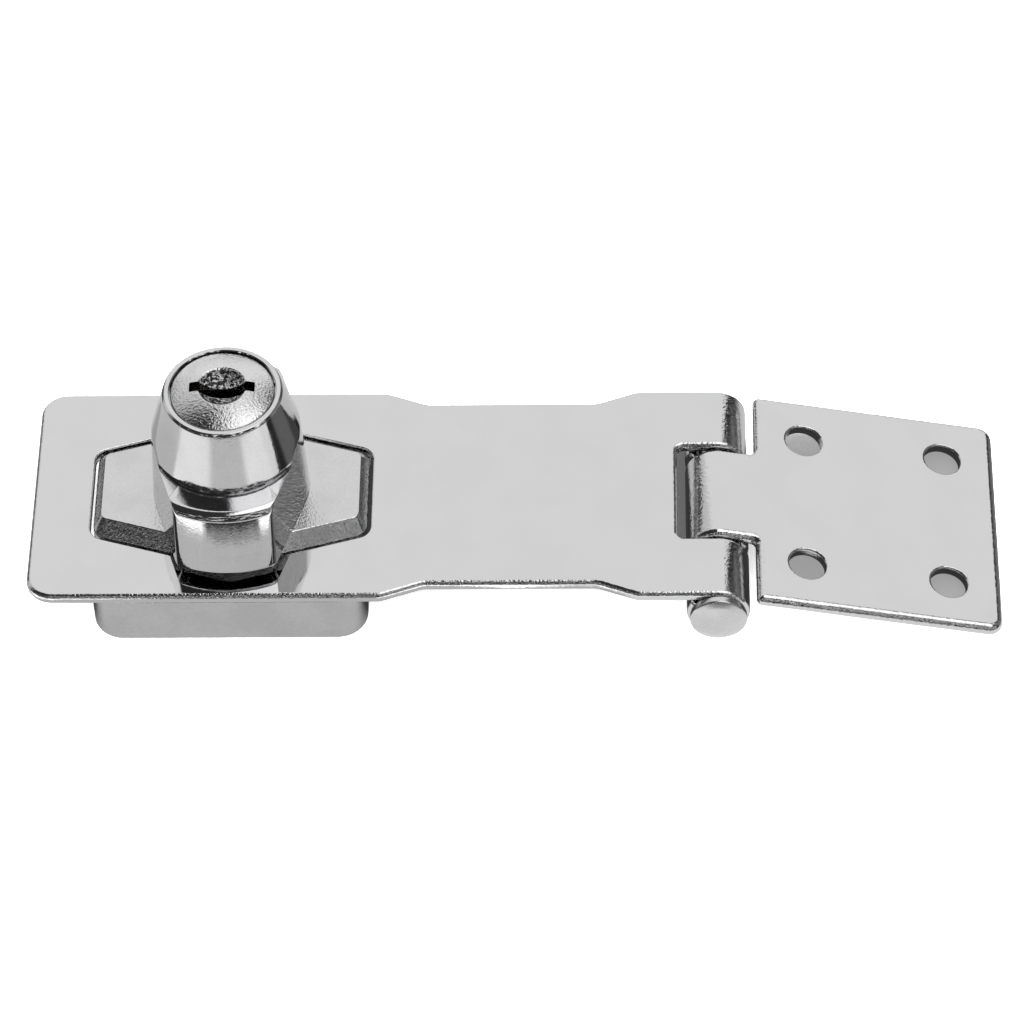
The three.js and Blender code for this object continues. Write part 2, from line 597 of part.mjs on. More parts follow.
const plugGroup = new THREE.Group();
plugGroup.add(part('lock_plug', lockPlug(), 'chrome'), part('plug_clip', plugClip(), 'springSteel'));
for (let i = 0; i < WAFER_COUNT; i++) {
  plugGroup.add(part(`wafer_${i + 1}`, wafer(i), 'brass'));
  plugGroup.add(part(`wafer_spring_${i + 1}`, waferSpring(i), 'springSteel'));
}
knobGroup.add(plugGroup);
hasp.add(knobGroup);

const leafGroup = new THREE.Group();
leafGroup.add(part('hasp_leaf', haspLeaf(), 'chrome'));
const pin = part('hinge_pin', hingePin(), 'chrome');
pin.position.set(HINGE_X, 0, HINGE_Z);
const fixed = part('fixed_leaf', fixedLeaf(), 'chrome');
fixed.position.set(HINGE_X, 0, HINGE_Z);
fixed.rotation.y = FIXED_TILT;
leafGroup.add(pin, fixed);
hasp.add(leafGroup);

export default hasp;
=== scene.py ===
# Looks for the locking hasp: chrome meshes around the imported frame, a studio, and the camera.
# Shapes are worked out in millimetres, in the frame's own axes, and scaled to metres at the end.
import math

import bmesh
import bpy
from mathutils import Matrix, Vector
from mathutils.geometry import tessellate_polygon


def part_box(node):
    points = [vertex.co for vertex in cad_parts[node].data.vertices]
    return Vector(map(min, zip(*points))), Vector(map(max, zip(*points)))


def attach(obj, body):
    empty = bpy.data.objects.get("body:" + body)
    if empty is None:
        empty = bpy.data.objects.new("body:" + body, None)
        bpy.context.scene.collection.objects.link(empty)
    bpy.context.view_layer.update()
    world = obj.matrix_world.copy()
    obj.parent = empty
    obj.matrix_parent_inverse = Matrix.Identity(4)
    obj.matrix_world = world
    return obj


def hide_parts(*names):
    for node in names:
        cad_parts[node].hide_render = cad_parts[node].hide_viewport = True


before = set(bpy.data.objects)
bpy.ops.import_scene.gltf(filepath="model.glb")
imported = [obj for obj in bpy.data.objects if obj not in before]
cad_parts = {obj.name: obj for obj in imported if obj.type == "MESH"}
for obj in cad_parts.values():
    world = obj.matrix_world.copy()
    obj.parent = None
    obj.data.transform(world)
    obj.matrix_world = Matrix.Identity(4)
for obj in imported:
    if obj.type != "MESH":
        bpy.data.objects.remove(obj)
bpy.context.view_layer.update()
MM = 0.001


def box_mm(node):
    low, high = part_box(node)
    return low / MM, high / MM


# ---------------------------------------------------------------- sizes, in millimetres
# Where each part begins and ends comes from the frame. The other sizes are those of its details, and of
# the rounding on its edges.
leaf_low, leaf_high = box_mm("hasp_leaf")
pin_low, pin_high = box_mm("hinge_pin")
base_high = box_mm("lock_base")[1]
knob_low, knob_high = box_mm("turn_knob")
plug_low, plug_high = box_mm("lock_plug")

SHEET = 1.5
LEAF_HALF = leaf_high.y
LEAF_LEFT = leaf_low.x
LEAF_TOP = leaf_high.z
LEAF_UNDER = LEAF_TOP - SHEET
HINGE_X = (pin_low.x + pin_high.x) / 2
HINGE_Z = (pin_low.z + pin_high.z) / 2
BARREL_R = LEAF_TOP - HINGE_Z
KNUCKLE_R = BARREL_R - SHEET
WAIST_HALF = 15.5
WAIST = (19.9, 25.3, 47.8, 53.0)
WAIST_CORNER = 3
LEAF_CORNER = 3.5
TONGUE_HALF = 7.4
NOTCH_HALF = 7.85
NOTCH_X = 58.3
NOTCH_CORNER = 0.9
LEAF_EASE = (0.45, 0.62)
HOLE_EASE = 0.3
ROLL_DEGREES = 300
ROLL_WORKED = 10

FIXED_TILT = math.radians(11.94)
FIXED_END = 37.1
FIXED_CORNER = 2
FIXED_SHOULDER = 4.4
SHOULDER_CORNER = 0.8
FIXED_EASE = (0.45, 0.95)
SCREW_HOLE_R = 2.45
SCREW_ROWS = (11.1, 30.0)
SCREW_Y = 10.55

PIN_R = 2.5
PIN_HEAD_R = (pin_high.x - pin_low.x) / 2
PIN_TAIL_R = 2.9
PIN_TAIL = 0.6
PIN_GAP = 0.05
NEAR_AXIS = 0.02
# The head's crown: radius, and height over the head's flat side.
PIN_CROWN = [(NEAR_AXIS, 1.8), (1.5, 1.68), (2.7, 1.36), (PIN_HEAD_R, 0.95)]

BASE_HALF_X = base_high.x
BASE_HALF_Y = base_high.y
BASE_TOP = 7.7
BASE_CORNER = 4
BASE_EASE = 0.35
BASE_WALL = 2.3
BASE_RECESS = 5.2
BASE_SCREW = (12.9, 12.6)
BASE_SCREW_R = 2.1
BASE_SCREW_HEAD_R = 3.9
BASE_POST_R = 4.8
HUB_R = 11.5
HUB_WALL = 1.5
LUG_STARTS = (-34, 144)
LUG_DEGREES = 70
BOSS_TOP = base_high.z
BOSS_CHAMFER = 1.75
BOSS_END_CHAMFER = 1.1
BOSS_FILLET = 0.32
WINDOW_END = 18.3
WINDOW_END_HALF = 7.2
WINDOW_MID_HALF = 12.7
WINDOW_CORNER = 2
WINDOW_MID_CORNER = 3
WINDOW_PLAY = 0.4
BOLT_NOSE = 5.4
BOLT_HALF = 3.4
BOLT_HIGH = 8.9
BOLT_STROKE = 2 * math.sqrt(2)

KNOB_UNDER = 10.9
KNOB_TOP = knob_high.z
LIP_Z = 21.2
LIP_R = 9.95
NECK_R = 9.6
NECK_FADE = (28, 36)
LEDGE_Z = 20.6
FLANK = math.radians(17.9)
FLANK_R = (10.28, 9.76)
FLANK_BLEND = 0.12
# The wings' ends: half the knob's length, and height.
WING_ENDS = [(15.28, KNOB_UNDER), (14.75, 14.0), (14.3, 17.0), (13.96, 19.3), (13.75, LEDGE_Z)]
WING_CORNER = 1.3
CONE_TOP_R = 7.78
RIM_R = 7.5
BORE_R = 6.85
BORE_SEAT = 27.2
# Radius and height down the bore, from the seat of the plug's head.
BORE_STEPS = [(5.57, BORE_SEAT), (5.57, 13.3), (4.07, 13.3), (4.07, 7.9)]
STEM_R = 6.5
STEM_END = knob_low.z
STEM_FLAT = 5.6
STEM_FLAT_TOP = 4.25
STEM_REACH = 7.5
CLIP_GROOVE_R = 5.85
CLIP_GROOVE = (2.0, 3.1)
WAFER_GROOVE = {"half": 3.15, "reach": 6.3, "z": (14.6, 27.3)}
BOLT_HOLE = {"back": -4.6, "half": 3.5, "z": (6.2, 9.0)}

PLUG_HEAD_R = (plug_high.x - plug_low.x) / 2
PLUG_BODY_R = 5.5
PLUG_TAIL_R = 4.0
PLUG_END = 9.3
PLUG_STEP = 13.4
PLUG_SEAT = 27.3
PLUG_CLIP_R = 4.9
PLUG_CLIP = (13.72, 14.38)
DOME_R = 16.5
DOME_DROP = 0.25
DISH_R = 3.2
DISH_DEPTH = 1.6
KEYWAY = (8.45, 1.6)
KEYWAY_CORNER = 0.12
WAFERS = 5
WAFER_FIRST = 15.6
WAFER_PITCH = 2.25
STUD = {"r": 0.9, "orbit": 2, "degrees": -135, "z": (6.5, 9.8)}

INNER_EASE = 0.08


def dome(r):
    """Height of the plug's crowned face at a radius."""
    rim = KNOB_TOP - DOME_DROP
    return rim + math.sqrt(DOME_R ** 2 - r ** 2) - math.sqrt(DOME_R ** 2 - PLUG_HEAD_R ** 2)


DISH_FLOOR = dome(DISH_R) - DISH_DEPTH


# ---------------------------------------------------------------- mesh building
def arc(centre, radius, start, end, steps):
    """Points of an arc in the plane, angles in degrees."""
    out = []
    for k in range(steps + 1):
        a = math.radians(start + (end - start) * k / steps)
        out.append((centre[0] + radius * math.cos(a), centre[1] + radius * math.sin(a)))
    return out


def outline(corners, inset=0.0, steps=10):
    """Closed outline of (x, y, corner radius[, 'keep']) corners, listed anticlockwise and moved inwards
    by inset, with a flag for each point whose edge is kept. 'keep' starts an edge that isn't moved."""
    n = len(corners)
    points, kept = [], []
    for i, corner in enumerate(corners):
        here = Vector(corner[:2])
        before = Vector(corners[i - 1][:2])
        after = Vector(corners[(i + 1) % n][:2])
        radius = corner[2]
        d_in = (here - before).normalized()
        d_out = (after - here).normalized()
        n_in = Vector((-d_in.y, d_in.x))
        n_out = Vector((-d_out.y, d_out.x))
        move_in = 0.0 if len(corners[i - 1]) > 3 else inset
        move_out = 0.0 if len(corner) > 3 else inset
        turn = d_in.x * d_out.y - d_in.y * d_out.x
        # Where the two moved edges cross.
        p = here + n_in * move_in
        q = here + n_out * move_out
        along = ((q - p).x * d_out.y - (q - p).y * d_out.x) / turn
        cross = p + d_in * along
        if radius == 0:
            points.append((cross.x, cross.y))
            kept.append(len(corner) > 3)
            continue
        r = max(radius - inset if turn > 0 else radius + inset, 0.02)
        half = math.acos(max(-1, min(1, (-d_in).dot(d_out)))) / 2
        reach = r / math.tan(half)
        centre = cross + ((-d_in) + d_out).normalized() * (r / math.sin(half))
        a = cross - d_in * reach - centre
        b = cross + d_out * reach - centre
        a0 = math.atan2(a.y, a.x)
        sweep = math.atan2(b.y, b.x) - a0
        sweep = (sweep + math.pi) % (2 * math.pi) - math.pi
        for k in range(steps + 1):
            t = a0 + sweep * k / steps
            points.append((centre.x + r * math.cos(t), centre.y + r * math.sin(t)))
            kept.append(False)
    return points, kept


def ease_levels(z0, z1, low, high, steps=5):
    """(inset, height) pairs up a plate's side, with its lower and upper edges eased by these radii."""
    levels = []
    for k in range(steps + 1):
        a = math.radians(90 * k / steps)
        levels.append((low * (1 - math.sin(a)), z0 + low * (1 - math.cos(a))))
    for k in range(steps + 1):
        a = math.radians(90 * k / steps)
        levels.append((high * (1 - math.cos(a)), z1 - high * (1 - math.sin(a))))
    return levels


class Shell:
    """A mesh under construction, in millimetres."""

    def __init__(self):
        self.bm = bmesh.new()
        self.flat = self.bm.verts.layers.int.new("flat")

    def ring(self, points, z=None):
        """A loop of new vertices, from points in space or from plane points at one height."""
        return [self.bm.verts.new(p if z is None else (p[0], p[1], z)) for p in points]

    def bridge(self, a, b, skip=None, material=0):
        """Faces between two rings of as many points, but for those that skip marks."""
        n = len(a)
        for i in range(n):
            if skip and skip[i]:
                continue
            j = (i + 1) % n
            face = self.bm.faces.new((a[i], a[j], b[j], b[i]))
            face.material_index = material

    def cap(self, *loops):
        """Flat face over an outer loop and any holes in it. Its rim takes the face's own normal."""
        tris = tessellate_polygon([[v.co for v in loop] for loop in loops])
        flat = [v for loop in loops for v in loop]
        for v in flat:
            v[self.flat] = 1
        for t in tris:
            if len(set(t)) == 3:
                self.bm.faces.new([flat[i] for i in t])

    def close(self, loop):
        self.bm.faces.new(loop)

    def plate(self, outer, holes, z0, z1, ease):
        """A flat plate with eased edges, its sides in the second material. Edges that 'keep' marks stay
        open, to be joined to something."""
        levels = ease_levels(z0, z1, *ease)
        rings, kept = [], None
        for inset, z in levels:
            points, kept = outline(outer, inset)
            rings.append(self.ring(points, z))
        for a, b in zip(rings, rings[1:]):
            self.bridge(a, b, kept, material=1)
        bottoms, tops = [rings[0]], [rings[-1]]
        for hole in holes:
            inner = []
            for inset, z in ease_levels(z0, z1, HOLE_EASE, HOLE_EASE):
                inner.append(self.ring(hole(inset), z))
            for a, b in zip(inner, inner[1:]):
                self.bridge(b, a, material=1)
            bottoms.append(inner[0])
            tops.append(inner[-1])
        self.cap(*bottoms)
        self.cap(*tops)
        return levels

    def roll(self, levels, y0, y1, towards, axis=(0.0, 0.0), steps=84):
        """A strip of the plate's own section, rolled on from its top about the hinge axis at (x, z). Past
        the first few degrees it takes the second material."""
        section = [(y0 + i, z) for i, z in levels] + [(y1 - i, z) for i, z in reversed(levels)]
        rings = []
        for k in range(steps + 1):
            a = math.radians(ROLL_DEGREES * k / steps)
            ring = []
            for y, z in section:
                rho = z - axis[1]
                ring.append((axis[0] + towards * rho * math.sin(a), y, axis[1] + rho * math.cos(a)))
            rings.append(self.ring(ring))
        for k in range(steps):
            self.bridge(rings[k], rings[k + 1], material=int(ROLL_DEGREES * k / steps > ROLL_WORKED))
        self.close(rings[-1])

    def stack(self, rings):
        """Rings joined one to the next, with both ends closed."""
        loops = [self.ring(r) for r in rings]
        for a, b in zip(loops, loops[1:]):
            self.bridge(a, b)
        self.close(loops[0])
        self.close(loops[-1])

    def finish(self, name, transform=None):
        """The mesh as an object in the scene, in metres, moved by transform first."""
        bmesh.ops.remove_doubles(self.bm, verts=self.bm.verts, dist=1e-4)
        bmesh.ops.dissolve_degenerate(self.bm, dist=1e-5, edges=self.bm.edges)
        bmesh.ops.recalc_face_normals(self.bm, faces=self.bm.faces)
        mesh = bpy.data.meshes.new(name)
        self.bm.to_mesh(mesh)
        self.bm.free()
        if transform is not None:
            mesh.transform(transform)
        mesh.transform(Matrix.Scale(MM, 4))
        obj = bpy.data.objects.new(name, mesh)
        bpy.context.scene.collection.objects.link(obj)
        return obj


def circle(r, n, centre=(0.0, 0.0)):
    return [(centre[0] + r * math.cos(2 * math.pi * k / n), centre[1] + r * math.sin(2 * math.pi * k / n))
            for k in range(n)]


def at_height(points, z):
    return [(x, y, z) for x, y in points]


def ring_at(r, z, angles):
    return [(r * math.cos(a), r * math.sin(a), z) for a in angles]


def lathe(profile, n=160):
    """Rings of a profile of (radius, height) points; a radius of zero isn't allowed."""
    return [at_height(circle(r, n), z) for r, z in profile]


def rounded(profile, radii, steps=6):
    """A profile with fillets: radii maps a point's index to its fillet radius."""
    out = []
    for i, p in enumerate(profile):
        r = radii.get(i, 0)
        if r == 0:
            out.append(p)
            continue
        here, before, after = Vector(p), Vector(profile[i - 1]), Vector(profile[i + 1])
        u = (before - here).normalized()
        v = (after - here).normalized()
        half = math.acos(max(-1, min(1, u.dot(v)))) / 2
        reach = r / math.tan(half)
        centre = here + (u + v).normalized() * (r / math.sin(half))
        a = here + u * reach - centre
        b = here + v * reach - centre
        a0 = math.atan2(a.y, a.x)
        sweep = (math.atan2(b.y, b.x) - a0 + math.pi) % (2 * math.pi) - math.pi
        for k in range(steps + 1):
            t = a0 + sweep * k / steps
            out.append((centre.x + r * math.cos(t), centre.y + r * math.sin(t)))
    return out


def tool(rings):
    """A closed shape used for cutting or joining and then thrown away."""
    shell = Shell()
    shell.stack(rings)
    return shell.finish("tool")


def prism_tool(points, z):
    return tool([at_height(points, h) for h in z])


def box_tool(x, y, z):
    return prism_tool([(x[0], y[0]), (x[1], y[0]), (x[1], y[1]), (x[0], y[1])], z)


def boolean(target, operation, tools):
    """Applies the same boolean for each tool, then removes the tools."""
    for t in tools:
        m = target.modifiers.new("cut", "BOOLEAN")
        m.operation = operation
        m.solver = "MANIFOLD"
        m.object = t
    bpy.context.view_layer.update()
    made = bpy.data.meshes.new_from_object(target.evaluated_get(bpy.context.evaluated_depsgraph_get()))
    target.modifiers.clear()
    target.data = made
    made.name = target.name
    made.materials.clear()
    for t in tools:
        bpy.data.objects.remove(t)
    return target


def shade_plate(obj, up=Vector((0, 0, 1))):
    """Smooth shading for an eased plate: its two faces, square to up, stay truly flat up to their rims."""
    mesh = obj.data
    mesh.shade_smooth()
    flat = mesh.attributes["flat"].data
    normals = []
    for v in mesh.vertices:
        side = up if v.normal.dot(up) > 0 else -up
        normals.append(side if flat[v.index].value else v.normal.copy())
    mesh.normals_split_custom_set_from_vertices(normals)
    return obj


def shade(obj, sharp_degrees=32):
    """Smooth shading with flat faces kept flat and hard corners kept hard."""
    mesh = obj.data
    mesh.shade_smooth()
    mesh.set_sharp_from_angle(angle=math.radians(sharp_degrees))
    m = obj.modifiers.new("normals", "WEIGHTED_NORMAL")
    m.mode = "FACE_AREA"
    m.keep_sharp = True
    m.weight = 60
    return obj


# ---------------------------------------------------------------- materials
class Nodes:
    """Short hand for building a material's node tree."""

    def __init__(self, tree):
        self.tree = tree
        tree.nodes.clear()

    def add(self, kind, inputs=None, **settings):
        node = self.tree.nodes.new(kind)
        for key, value in settings.items():
            setattr(node, key, value)
        for key, value in (inputs or {}).items():
            socket = node.inputs[key]
            if isinstance(value, bpy.types.NodeSocket):
                self.tree.links.new(value, socket)
            else:
                socket.default_value = value
        return node

    def noise(self, where, scale, detail=3.0, roughness=0.5):
        return self.add("ShaderNodeTexNoise", {
            "Vector": where, "Scale": scale, "Detail": detail, "Roughness": roughness}).outputs["Fac"]

    def ramp(self, value, low, high, to_low=0.0, to_high=1.0):
        return self.add("ShaderNodeMapRange", {
            "Value": value, "From Min": low, "From Max": high, "To Min": to_low, "To Max": to_high},
            interpolation_type="SMOOTHSTEP").outputs["Result"]

    def math(self, operation, a, b=0.0):
        return self.add("ShaderNodeMath", {0: a, 1: b}, operation=operation).outputs[0]

    def tint(self, factor, a, b):
        """Colour a where factor is 0, and colour b where it is 1."""
        return self.add("ShaderNodeMix", {"Factor": factor, 6: a, 7: b}, data_type="RGBA").outputs[2]


def chrome(name, tone, tarnish, rough, rough_spread, peel, grain, mottle=0.04, dish=None):
    """Chrome plate. peel and grain are (scale per metre, bump strength): the plating's slow waviness and
    its fine grain. mottle is how much the grain also darkens the plating. dish is (radius, floor, scale,
    strength) of a rougher cast patch about the object's own vertical axis, above the floor's height, with
    painted shade speckled black into its pits."""
    material = bpy.data.materials.new(name)
    material.use_nodes = True
    n = Nodes(material.node_tree)
    where = n.add("ShaderNodeTexCoord").outputs["Object"]
    slow = n.noise(where, 160, 2.0)
    cloud = n.noise(where, 620, 4.0, 0.6)
    speck = n.noise(where, 5200, 2.0, 0.6)
    colour = n.tint(n.ramp(slow, 0.35, 0.7), (*tone, 1), (*tarnish, 1))
    # Small pinholes in the plating, a little darker and duller than the rest.
    pit = n.ramp(speck, 0.72, 0.8)
    dull = tuple(c * 0.55 for c in tone)
    colour = n.tint(n.math("MULTIPLY", pit, 0.35), colour, (*dull, 1))
    fine = n.noise(where, grain[0], 2.0, 0.6)
    colour = n.tint(n.math("MULTIPLY", n.ramp(fine, 0.35, 0.65), mottle), colour, (*dull, 1))
    roughness = n.math("ADD", n.ramp(cloud, 0.3, 0.75, rough, rough + rough_spread),
                       n.math("MULTIPLY", pit, 0.15))
    normal = n.add("ShaderNodeBump", {
        "Strength": peel[1], "Distance": 0.0004, "Height": n.noise(where, peel[0], 2.0, 0.4)}).outputs[0]
    normal = n.add("ShaderNodeBump", {
        "Strength": grain[1], "Distance": 0.00008, "Height": fine, "Normal": normal}).outputs[0]
    if dish:
        reach, bottom, scale, strength = dish
        x, y, z = n.add("ShaderNodeSeparateXYZ", {"Vector": where}).outputs
        radius = n.math("SQRT", n.math("ADD", n.math("POWER", x, 2.0), n.math("POWER", y, 2.0)))
        inside = n.math("MULTIPLY", n.ramp(radius, reach * 0.93, reach, 1.0, 0.0),
                        n.ramp(z, bottom - 0.00005, bottom))
        coarse = n.math("MULTIPLY", n.noise(where, scale, 2.0, 0.5), inside)
        normal = n.add("ShaderNodeBump", {
            "Strength": strength, "Distance": 0.0003, "Height": coarse, "Normal": normal}).outputs[0]
        # The dish's pits are speckled near black: painted shade in the recess.
        dish_pit_shade = n.math("MULTIPLY", n.ramp(n.noise(where, scale * 0.8, 1.0), 0.44, 0.52, 1.0, 0.0), inside)
        colour = n.tint(dish_pit_shade, colour, (0.05, 0.05, 0.05, 1))
    shader = n.add("ShaderNodeBsdfPrincipled", {
        "Base Color": colour, "Metallic": 1.0, "Roughness": roughness, "Normal": normal})
    n.add("ShaderNodeOutputMaterial", {"Surface": shader.outputs[0]})
    return material


def metal(name, tone, dark, rough, scale, stretch=(1, 1, 1), strength=0.25):
    """Drawn, stamped or zinc-plated metal, with its own direction of grain."""
    material = bpy.data.materials.new(name)
    material.use_nodes = True
    n = Nodes(material.node_tree)
    where = n.add("ShaderNodeTexCoord").outputs["Object"]
    where = n.add("ShaderNodeMapping", {"Vector": where, "Scale": stretch}).outputs[0]
    fine = n.noise(where, scale, 4.0, 0.6)
    broad = n.noise(where, scale * 0.2, 3.0)
    colour = n.tint(n.ramp(broad, 0.35, 0.7), (*tone, 1), (*dark, 1))
    normal = n.add("ShaderNodeBump", {
        "Strength": strength, "Distance": 0.00005, "Height": fine}).outputs[0]
    shader = n.add("ShaderNodeBsdfPrincipled", {
        "Base Color": colour, "Metallic": 1.0, "Roughness": n.ramp(fine, 0.3, 0.7, rough, rough + 0.15),
        "Normal": normal})
    n.add("ShaderNodeOutputMaterial", {"Surface": shader.outputs[0]})
    return material


SHEET_CHROME = chrome("sheet_chrome", (0.625, 0.625, 0.63), (0.612, 0.612, 0.617), 0.035, 0.02,
                      peel=(500, 0.006), grain=(5200, 0.01), mottle=0.01)
WORKED_CHROME = chrome("worked_chrome", (0.625, 0.625, 0.63), (0.612, 0.612, 0.617), 0.04, 0.02,
                       peel=(700, 0.01), grain=(2400, 0.6), mottle=0.03)
BASE_CHROME = chrome("base_chrome", (0.61, 0.61, 0.615), (0.56, 0.56, 0.565), 0.08, 0.06,
                     peel=(700, 0.06), grain=(2600, 0.8), mottle=0.08)
KNOB_CHROME = chrome("knob_chrome", (0.64, 0.64, 0.645), (0.6, 0.6, 0.605), 0.065, 0.04,
                     peel=(800, 0.012), grain=(3000, 0.08), mottle=0.08)
PLUG_CHROME = chrome("plug_chrome", (0.66, 0.66, 0.665), (0.58, 0.58, 0.585), 0.06, 0.04,
                     peel=(900, 0.02), grain=(3400, 0.9), mottle=0.08,
                     dish=(DISH_R * MM, DISH_FLOOR * MM, 2900, 0.9))
PIN_CHROME = chrome("pin_chrome", (0.6, 0.6, 0.605), (0.55, 0.55, 0.555), 0.24, 0.06,
                    peel=(600, 0.03), grain=(3000, 0.1), mottle=0.08)
SPRING_STEEL = metal("spring_steel", (0.5, 0.51, 0.52), (0.36, 0.37, 0.38), 0.22, 3000, (1, 1, 4))
ZINC_STEEL = metal("zinc_steel", (0.6, 0.62, 0.64), (0.47, 0.49, 0.51), 0.3, 2600)
# The wafers are brass in hue, darkened far below brass's own tone as painted shade for their place deep
# inside the keyway.
SHADED_WAFER_BRASS = metal("wafer_brass", (0.16, 0.13, 0.08), (0.08, 0.065, 0.04), 0.5, 3000, (1, 6, 1))


def mount(obj, body, slot, materials, *nodes):
    """A finished piece takes its materials, rides on its body and stands for its CAD nodes."""
    for material in materials:
        obj.data.materials.append(material)
    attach(obj, body)
    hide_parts(*nodes)


# ---------------------------------------------------------------- the long leaf
def hexagon(inset, r, end_inset=None):
    """The long hexagon shared by the leaf's window and the boss in it, with end corners of radius r."""
    end = WINDOW_END - (inset if end_inset is None else end_inset)
    slope = (WINDOW_MID_HALF - WINDOW_END_HALF) / WINDOW_END
    mid = WINDOW_MID_HALF - inset * math.hypot(1, slope)
    side = mid - slope * end
    return [(-end, -side, r), (0, -mid, WINDOW_MID_CORNER), (end, -side, r),
            (end, side, r), (0, mid, WINDOW_MID_CORNER), (-end, side, r)]


def window_ring(inset):
    return outline(hexagon(-inset, WINDOW_CORNER + inset), 0, 12)[0]


def make_leaf():
    w0, w1, w2, w3 = WAIST
    lower = [
        (LEAF_LEFT, -LEAF_HALF, LEAF_CORNER), (w0, -LEAF_HALF, WAIST_CORNER),
        (w1, -WAIST_HALF, WAIST_CORNER), (w2, -WAIST_HALF, WAIST_CORNER), (w3, -LEAF_HALF, WAIST_CORNER),
    ]
    upper = [(x, -y, r) for x, y, r in reversed(lower)]
    corners = lower + [
        (HINGE_X, -LEAF_HALF, 0, "keep"), (HINGE_X, -NOTCH_HALF, 0), (NOTCH_X, -NOTCH_HALF, NOTCH_CORNER),
        (NOTCH_X, NOTCH_HALF, NOTCH_CORNER), (HINGE_X, NOTCH_HALF, 0, "keep"), (HINGE_X, LEAF_HALF, 0),
    ] + upper
    shell = Shell()
    levels = shell.plate(corners, [window_ring], LEAF_UNDER, LEAF_TOP, LEAF_EASE)
    for y0, y1 in ((-LEAF_HALF, -NOTCH_HALF), (NOTCH_HALF, LEAF_HALF)):
        shell.roll(levels, y0, y1, 1, axis=(HINGE_X, HINGE_Z))
    leaf = shade_plate(shell.finish("hasp_leaf_plate"))
    mount(leaf, "hasp_leaf", "sheet_chrome", (SHEET_CHROME, WORKED_CHROME), "hasp_leaf")


# ---------------------------------------------------------------- the fixed leaf
def make_fixed_leaf():
    corners = [
        (0, -TONGUE_HALF, 0), (FIXED_SHOULDER, -TONGUE_HALF, SHOULDER_CORNER),
        (FIXED_SHOULDER, -LEAF_HALF, SHOULDER_CORNER), (FIXED_END, -LEAF_HALF, FIXED_CORNER),
        (FIXED_END, LEAF_HALF, FIXED_CORNER), (FIXED_SHOULDER, LEAF_HALF, SHOULDER_CORNER),
        (FIXED_SHOULDER, TONGUE_HALF, SHOULDER_CORNER), (0, TONGUE_HALF, 0, "keep"),
    ]
    holes = [
        (lambda inset, x=x, y=y: circle(SCREW_HOLE_R + inset, 48, (x, y)))
        for x in SCREW_ROWS for y in (-SCREW_Y, SCREW_Y)
    ]
    shell = Shell()
    levels = shell.plate(corners, holes, KNUCKLE_R, BARREL_R, FIXED_EASE)
    shell.roll(levels, -TONGUE_HALF, TONGUE_HALF, -1)
    place = Matrix.Translation((HINGE_X, 0, HINGE_Z)) @ Matrix.Rotation(FIXED_TILT, 4, "Y")
    leaf = shade_plate(shell.finish("fixed_leaf_plate", place), place.to_3x3() @ Vector((0, 0, 1)))
    mount(leaf, "fixed_leaf", "sheet_chrome", (SHEET_CHROME, WORKED_CHROME), "fixed_leaf")


# ---------------------------------------------------------------- the hinge pin
def make_pin():
    head = -LEAF_HALF - PIN_GAP
    tail = LEAF_HALF + PIN_GAP
    profile = rounded([(r, head - h) for r, h in PIN_CROWN] + [
        (PIN_HEAD_R, head), (PIN_R, head), (PIN_R, tail), (PIN_TAIL_R, tail),
        (PIN_TAIL_R, tail + 0.4), (PIN_TAIL_R - 0.5, tail + PIN_TAIL), (NEAR_AXIS, tail + PIN_TAIL),
    ], {1: 6.0, 2: 3.0, 3: 0.3, 4: 0.12, 8: 0.2})
    shell = Shell()
    shell.stack(lathe(profile, 96))
    place = Matrix.Translation((HINGE_X, 0, HINGE_Z)) @ Matrix.Rotation(math.radians(-90), 4, "X")
    pin = shade(shell.finish("hinge_pin_solid", place))
    mount(pin, "hasp_leaf", "pin_chrome", (PIN_CHROME,), "hinge_pin")


# ---------------------------------------------------------------- the lock base
def sector_points(r0, r1, start, end, steps=30):
    outer = arc((0, 0), r1, start, end, steps)
    inner = arc((0, 0), r0, end, start, steps)
    return outer + inner


def rectangle(half_x, half_y, r):
    return [(-half_x, -half_y, r), (half_x, -half_y, r), (half_x, half_y, r), (-half_x, half_y, r)]


